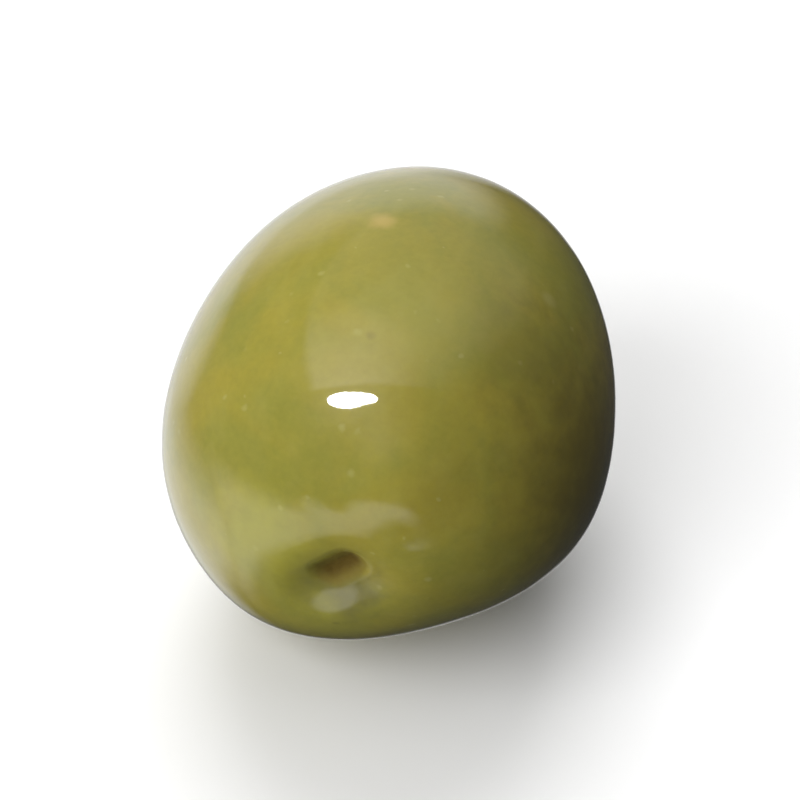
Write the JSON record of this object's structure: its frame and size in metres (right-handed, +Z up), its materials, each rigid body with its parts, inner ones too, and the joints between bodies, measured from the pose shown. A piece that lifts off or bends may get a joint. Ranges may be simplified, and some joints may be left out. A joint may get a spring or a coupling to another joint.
{
  "type": "green olive",
  "caption": "Whole green table olive lying on its side, an egg-shaped fruit with a shallow stem hollow, an oblong stem pit and a soft blossom tip, resting on a small flat spot.",
  "frame": {"origin": "under the middle of the fruit, on the plane of the flat spot it rests on", "axes": "+Z up, +Y along the fruit's long axis from the stem end to the blossom tip, +X across it"},
  "size_m": [0.0212, 0.0262, 0.021],
  "materials": {
    "olive_skin": "smooth yellow-green fruit skin, wet and glossy with brine, softly mottled, brown inside the stem pit"
  },
  "bodies": {
    "root": {"olive": "olive_skin"}
  },
  "joints": []
}
